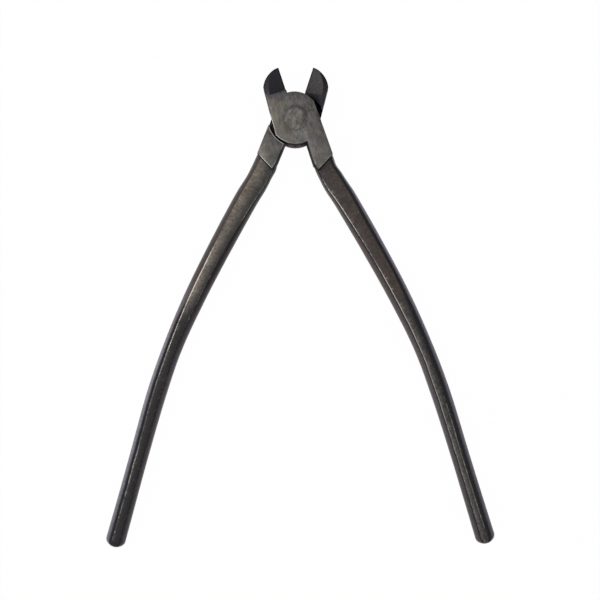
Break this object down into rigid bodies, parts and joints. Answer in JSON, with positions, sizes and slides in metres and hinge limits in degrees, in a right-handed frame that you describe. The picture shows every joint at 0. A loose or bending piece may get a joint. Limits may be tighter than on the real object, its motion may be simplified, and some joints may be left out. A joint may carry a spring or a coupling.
{
  "type": "bonsai wire cutter",
  "caption": "Long-handled hand cutter with short beveled jaws, a lapped head on one flush rivet and bowed round-bar handles with ground flats, for snipping training wire off bonsai branches",
  "frame": {"origin": "on the pivot axis, in the plane of the rear face, at the end of the rivet", "axes": "+Z is the pivot axis and points out of the front face, +Y points from the pivot to the jaw tips, +X points to the right seen from the front; the tool lies flat on its rear face, open as in the picture"},
  "size_m": [0.1576, 0.1944, 0.011],
  "materials": {
    "forged_steel": "black forge scale worn brown on the handle flats, ground bare grey on the head, bright along the edges",
    "rivet_steel": "bare steel, ground flush with the head"
  },
  "bodies": {
    "rear_half": {"rear_lever": "forged_steel", "pivot_rivet": "rivet_steel"},
    "front_half": {"front_lever": "forged_steel"}
  },
  "joints": [
    {"name": "jaw_pivot", "type": "hinge", "parent": "rear_half", "child": "front_half", "pos_m": [0, 0, 0.0055], "axis": [0, 0, 1], "range_deg": [-36.5, 26.5]}
  ]
}
